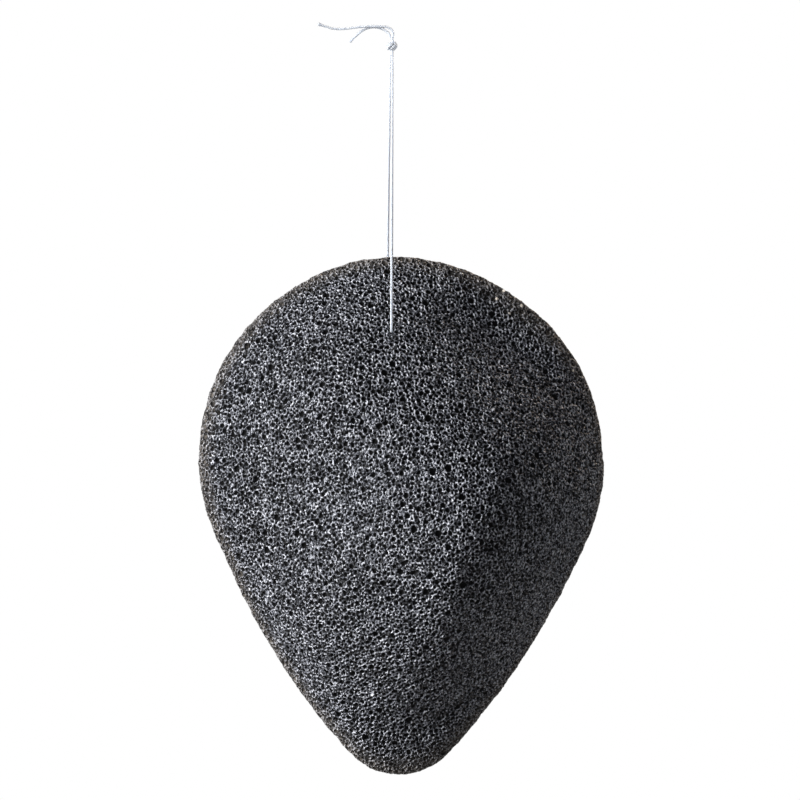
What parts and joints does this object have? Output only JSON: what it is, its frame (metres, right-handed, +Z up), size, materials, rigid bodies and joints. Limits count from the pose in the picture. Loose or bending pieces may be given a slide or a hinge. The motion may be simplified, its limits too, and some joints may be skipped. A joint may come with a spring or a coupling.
{
  "type": "konjac sponge",
  "caption": "Drop-shaped charcoal foam face sponge with a domed front and flat soft-edged back, hung on a loop of white cotton thread tied in a knot with loose tails.",
  "frame": {"origin": "the hanging point: the underside of the knot, where the two strands of the thread's loop meet", "axes": "+Z up along the hanging thread, -Y towards the domed front face, +X to the right as the front is seen"},
  "size_m": [0.0704, 0.031, 0.1306],
  "materials": {
    "foam": "open-pored konjac foam coloured with bamboo charcoal, dry, with small dark pores and thin pale cell walls",
    "thread": "white twisted cotton thread, matt with a faint cool sheen"
  },
  "bodies": {
    "thread": {"string_inside": "thread", "string_front": "thread", "string_back": "thread", "knot": "thread", "tail_long": "thread", "tail_short": "thread"},
    "body": {"sponge": "foam"}
  },
  "joints": [
    {"name": "sponge_swing", "type": "hinge", "parent": "thread", "child": "body", "pos_m": [0, 0, -0.0485], "axis": [0, 1, 0], "range_deg": [-30, 30]}
  ]
}
